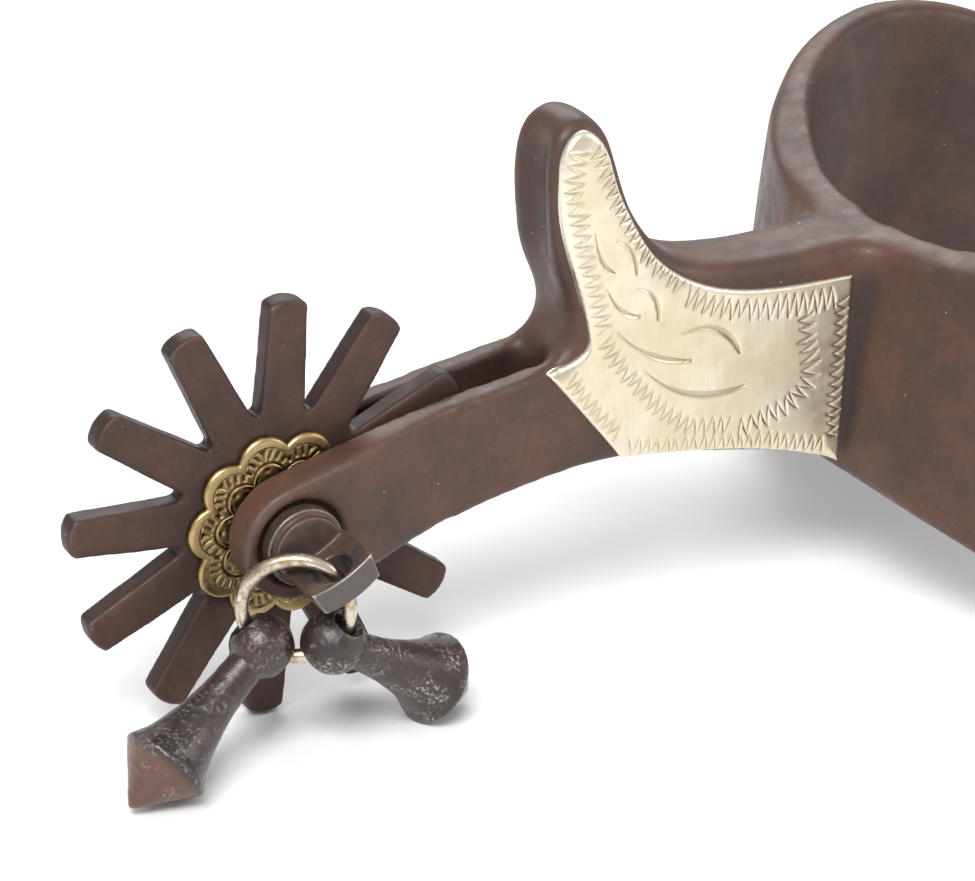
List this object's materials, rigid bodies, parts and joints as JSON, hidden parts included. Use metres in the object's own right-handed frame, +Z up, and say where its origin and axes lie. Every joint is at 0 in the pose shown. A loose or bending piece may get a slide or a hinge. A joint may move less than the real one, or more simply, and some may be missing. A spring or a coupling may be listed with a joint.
{
  "type": "western riding spur",
  "caption": "Browned iron western spur: heel band, shank with raised chap-guard horn, engraved side plates, star rowel with rosettes, jingle bobs on a ring, and swinging strap buttons.",
  "frame": {"origin": "middle of the base of the bounding box, on the floor the spur rests on", "axes": "+X forward from rowel to heel band, +Y to the left, +Z up"},
  "size_m": [0.1972, 0.11, 0.0669],
  "materials": {
    "browned_iron": "browned, satin, worn at the edges",
    "browned_steel": "dark, filed",
    "dark_cast_iron": "dark, pitted, worn bright on high spots",
    "nickel_silver": "brushed, engraved",
    "nickel_wire": "worn plated wire",
    "antique_brass": "stamped, antiqued"
  },
  "bodies": {
    "spur": {"heel_band": "browned_iron", "shank": "browned_iron", "side_plate_left": "nickel_silver", "side_plate_right": "nickel_silver", "rowel_pin": "browned_steel", "rowel_pin_washer": "browned_steel", "hanger_pin_left": "browned_steel", "hanger_pin_right": "browned_steel"},
    "rowel": {"rowel": "browned_iron"},
    "rosette_left": {"rosette_left": "antique_brass"},
    "rosette_right": {"rosette_right": "antique_brass"},
    "ring": {"jingle_ring": "nickel_wire"},
    "bob_rear": {"jingle_bob_rear": "dark_cast_iron"},
    "bob_front": {"jingle_bob_front": "dark_cast_iron"},
    "hanger_left": {"hanger_left": "browned_iron", "button_stud_left": "browned_iron", "button_cap_left": "nickel_silver"},
    "hanger_right": {"hanger_right": "browned_iron", "button_stud_right": "browned_iron", "button_cap_right": "nickel_silver"}
  },
  "joints": [
    {"name": "rowel_spin", "type": "hinge", "parent": "spur", "child": "rowel", "pos_m": [-0.07324, 0, 0.0254], "axis": [0, 1, 0], "continuous": true},
    {"name": "rosette_left_spin", "type": "hinge", "parent": "spur", "child": "rosette_left", "pos_m": [-0.07324, 0, 0.024], "axis": [0, 1, 0], "continuous": true},
    {"name": "rosette_right_spin", "type": "hinge", "parent": "spur", "child": "rosette_right", "pos_m": [-0.07324, 0, 0.024], "axis": [0, 1, 0], "continuous": true},
    {"name": "ring_swing", "type": "hinge", "parent": "spur", "child": "ring", "pos_m": [-0.0718, -0.0137, 0.02203], "axis": [-0.4305, 0, 0.9026], "range_deg": [0, 45]},
    {"name": "bob_rear_swing", "type": "hinge", "parent": "ring", "child": "bob_rear", "pos_m": [-0.07911, -0.00973, 0.01422], "axis": [0.589, -0.3925, -0.7064], "range_deg": [-40, 25]},
    {"name": "bob_front_swing", "type": "hinge", "parent": "ring", "child": "bob_front", "pos_m": [-0.07279, -0.01316, 0.01435], "axis": [0.5756, -0.3735, 0.7274], "range_deg": [-45, 2]},
    {"name": "hanger_left_swing", "type": "hinge", "parent": "spur", "child": "hanger_left", "pos_m": [0.08976, 0.0458, 0.0226], "axis": [0, -1, 0], "range_deg": [0, 150]},
    {"name": "hanger_right_swing", "type": "hinge", "parent": "spur", "child": "hanger_right", "pos_m": [0.08976, -0.0458, 0.0226], "axis": [0, -1, 0], "range_deg": [0, 150]}
  ]
}
